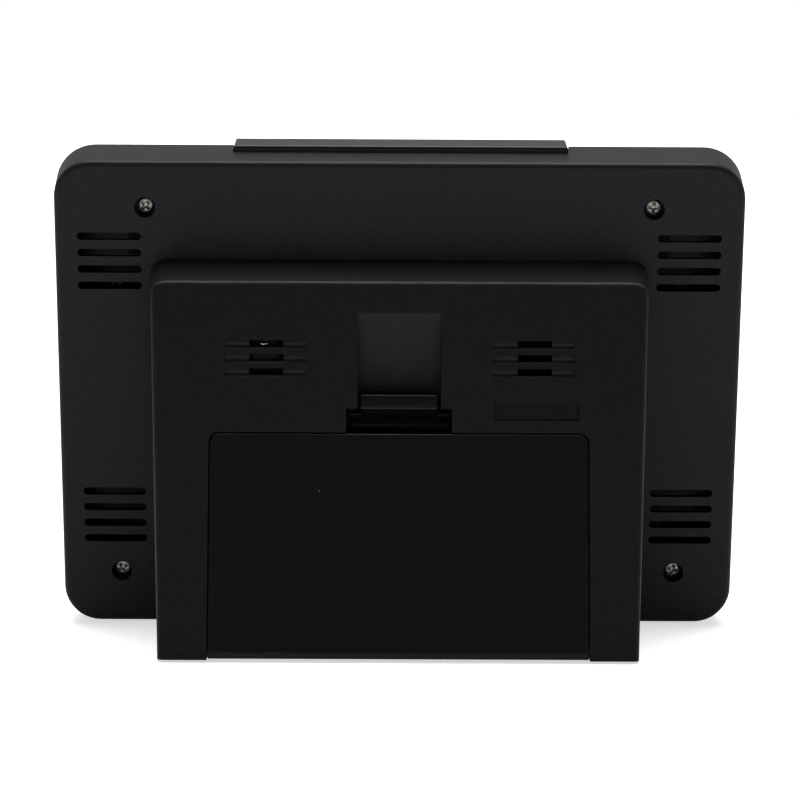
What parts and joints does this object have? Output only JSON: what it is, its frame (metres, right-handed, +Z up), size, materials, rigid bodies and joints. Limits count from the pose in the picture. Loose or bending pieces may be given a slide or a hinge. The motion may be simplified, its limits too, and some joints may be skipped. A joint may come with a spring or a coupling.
{
  "type": "digital photo frame",
  "caption": "Free-standing digital display frame on a wedge-shaped battery stand, with a hinged battery door, a finger latch and a long press bar on top.",
  "frame": {"origin": "middle of the object's box at the level of the surface it stands on", "axes": "+Z up, the display faces -Y and leans back, the battery door faces +Y, X runs across"},
  "size_m": [0.2088, 0.086, 0.1501],
  "materials": {
    "case_plastic": "fine moulded texture, black",
    "door_plastic": "fine moulded texture, black",
    "bezel_plastic": "satin black",
    "bar_plastic": "satin black",
    "lens_glass": "dark tinted, gloss",
    "panel_glass": "dark, switched off",
    "sheet_steel": "plain sheet",
    "screw_steel": "nickel plated",
    "spring_steel": "nickel plated",
    "board_green": "solder mask",
    "chip_black": "moulded package",
    "ribbon_film": "amber film",
    "switch_black": "small switch body",
    "cone_paper": "pressed pulp, black",
    "cell_wrap": "printed sleeve, plain",
    "foot_rubber": "matt black"
  },
  "bodies": {
    "case": {"rear_case": "case_plastic", "front_bezel": "bezel_plastic", "display_lens": "lens_glass", "lcd_panel": "panel_glass", "lcd_back_plate": "sheet_steel", "plate_screws": "screw_steel", "main_board": "board_green", "board_standoffs": "spring_steel", "board_screws": "screw_steel", "main_chip": "chip_black", "memory_chip": "chip_black", "lcd_ribbon": "ribbon_film", "card_socket": "sheet_steel", "card_board": "board_green", "switch_board": "board_green", "bar_switch_1": "switch_black", "bar_switch_2": "switch_black", "battery_tray": "case_plastic", "battery_cell_1": "cell_wrap", "battery_cell_2": "cell_wrap", "battery_cell_3": "cell_wrap", "battery_cell_4": "cell_wrap", "contact_plates": "spring_steel", "contact_springs": "spring_steel", "speaker_basket": "sheet_steel", "speaker_cone": "cone_paper", "speaker_magnet": "sheet_steel", "case_screws": "screw_steel", "foot_strip_front": "foot_rubber", "foot_strip_rear": "foot_rubber"},
    "bar": {"press_bar": "bar_plastic"},
    "door": {"battery_door": "door_plastic", "latch_spring": "door_plastic"},
    "latch": {"latch_lip": "door_plastic"}
  },
  "joints": [
    {"name": "bar_press", "type": "slide", "parent": "case", "child": "bar", "axis": [0, -0.1733, -0.9849], "range_m": [0, 0.001], "stiffness_N_per_m": 400, "springref_m": -0.001},
    {"name": "door_hinge", "type": "hinge", "parent": "case", "child": "door", "pos_m": [0, 0.04059, 0.0028], "axis": [-1, 0, 0], "range_deg": [0, 90]},
    {"name": "latch_flex", "type": "hinge", "parent": "door", "child": "latch", "pos_m": [0, 0.02277, 0.06999], "axis": [-1, 0, 0], "range_deg": [0, 16], "stiffness_Nm_per_rad": 0.05, "springref_deg": -2.86}
  ]
}
